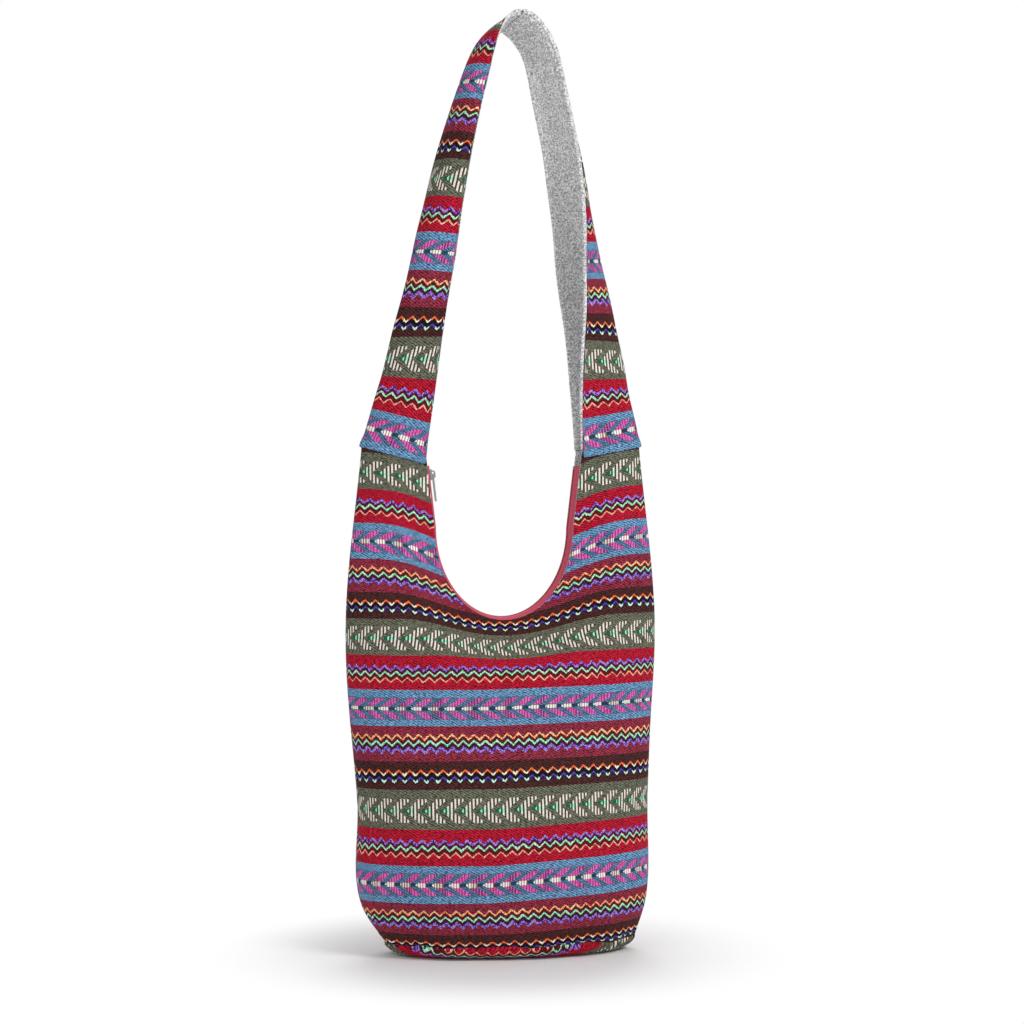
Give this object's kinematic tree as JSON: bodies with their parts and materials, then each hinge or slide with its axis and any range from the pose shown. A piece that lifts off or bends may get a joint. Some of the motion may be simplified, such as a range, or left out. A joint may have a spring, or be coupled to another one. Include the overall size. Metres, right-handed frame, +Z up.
{
  "type": "woven sling shoulder bag",
  "caption": "Sewn sling shoulder bag of striped woven cloth with an oval base, a scooped mouth closed by a zip, and tapered straps that meet over the shoulder.",
  "frame": {"origin": "on the floor, under the middle of the bag's bounding box", "axes": "+Z up along the strap loop, +X to the right seen from the front, +Y from the front to the back"},
  "size_m": [0.3135, 0.1564, 0.938],
  "materials": {
    "woven_cloth": "striped jacquard weave, matt",
    "lining": "grey heather plain weave",
    "zip_tape": "crimson woven tape",
    "zip_coil": "crimson coil",
    "zip_metal": "plated die-cast metal"
  },
  "bodies": {
    "bag": {"front_panel": "woven_cloth", "back_panel": "woven_cloth", "base_panel": "woven_cloth", "left_strap": "woven_cloth", "right_strap": "woven_cloth", "front_lining": "lining", "back_lining": "lining", "base_lining": "lining", "left_strap_lining": "lining", "right_strap_lining": "lining", "zip_tape_front": "zip_tape", "zip_tape_back": "zip_tape", "zip_coil_front": "zip_coil", "zip_coil_back": "zip_coil", "zip_top_stop_front": "zip_metal", "zip_top_stop_back": "zip_metal", "zip_bottom_stop": "zip_metal"},
    "slider": {"zip_slider": "zip_metal"},
    "pull": {"zip_pull": "zip_metal"}
  },
  "joints": [
    {"name": "zip_slide", "type": "slide", "parent": "bag", "child": "slider", "axis": [0.1154, 0, -0.9933], "range_m": [0, 0.042]},
    {"name": "pull_swing", "type": "hinge", "parent": "slider", "child": "pull", "pos_m": [-0.06941, 0, 0.47636], "axis": [0, -1, 0], "range_deg": [0, 165]}
  ]
}
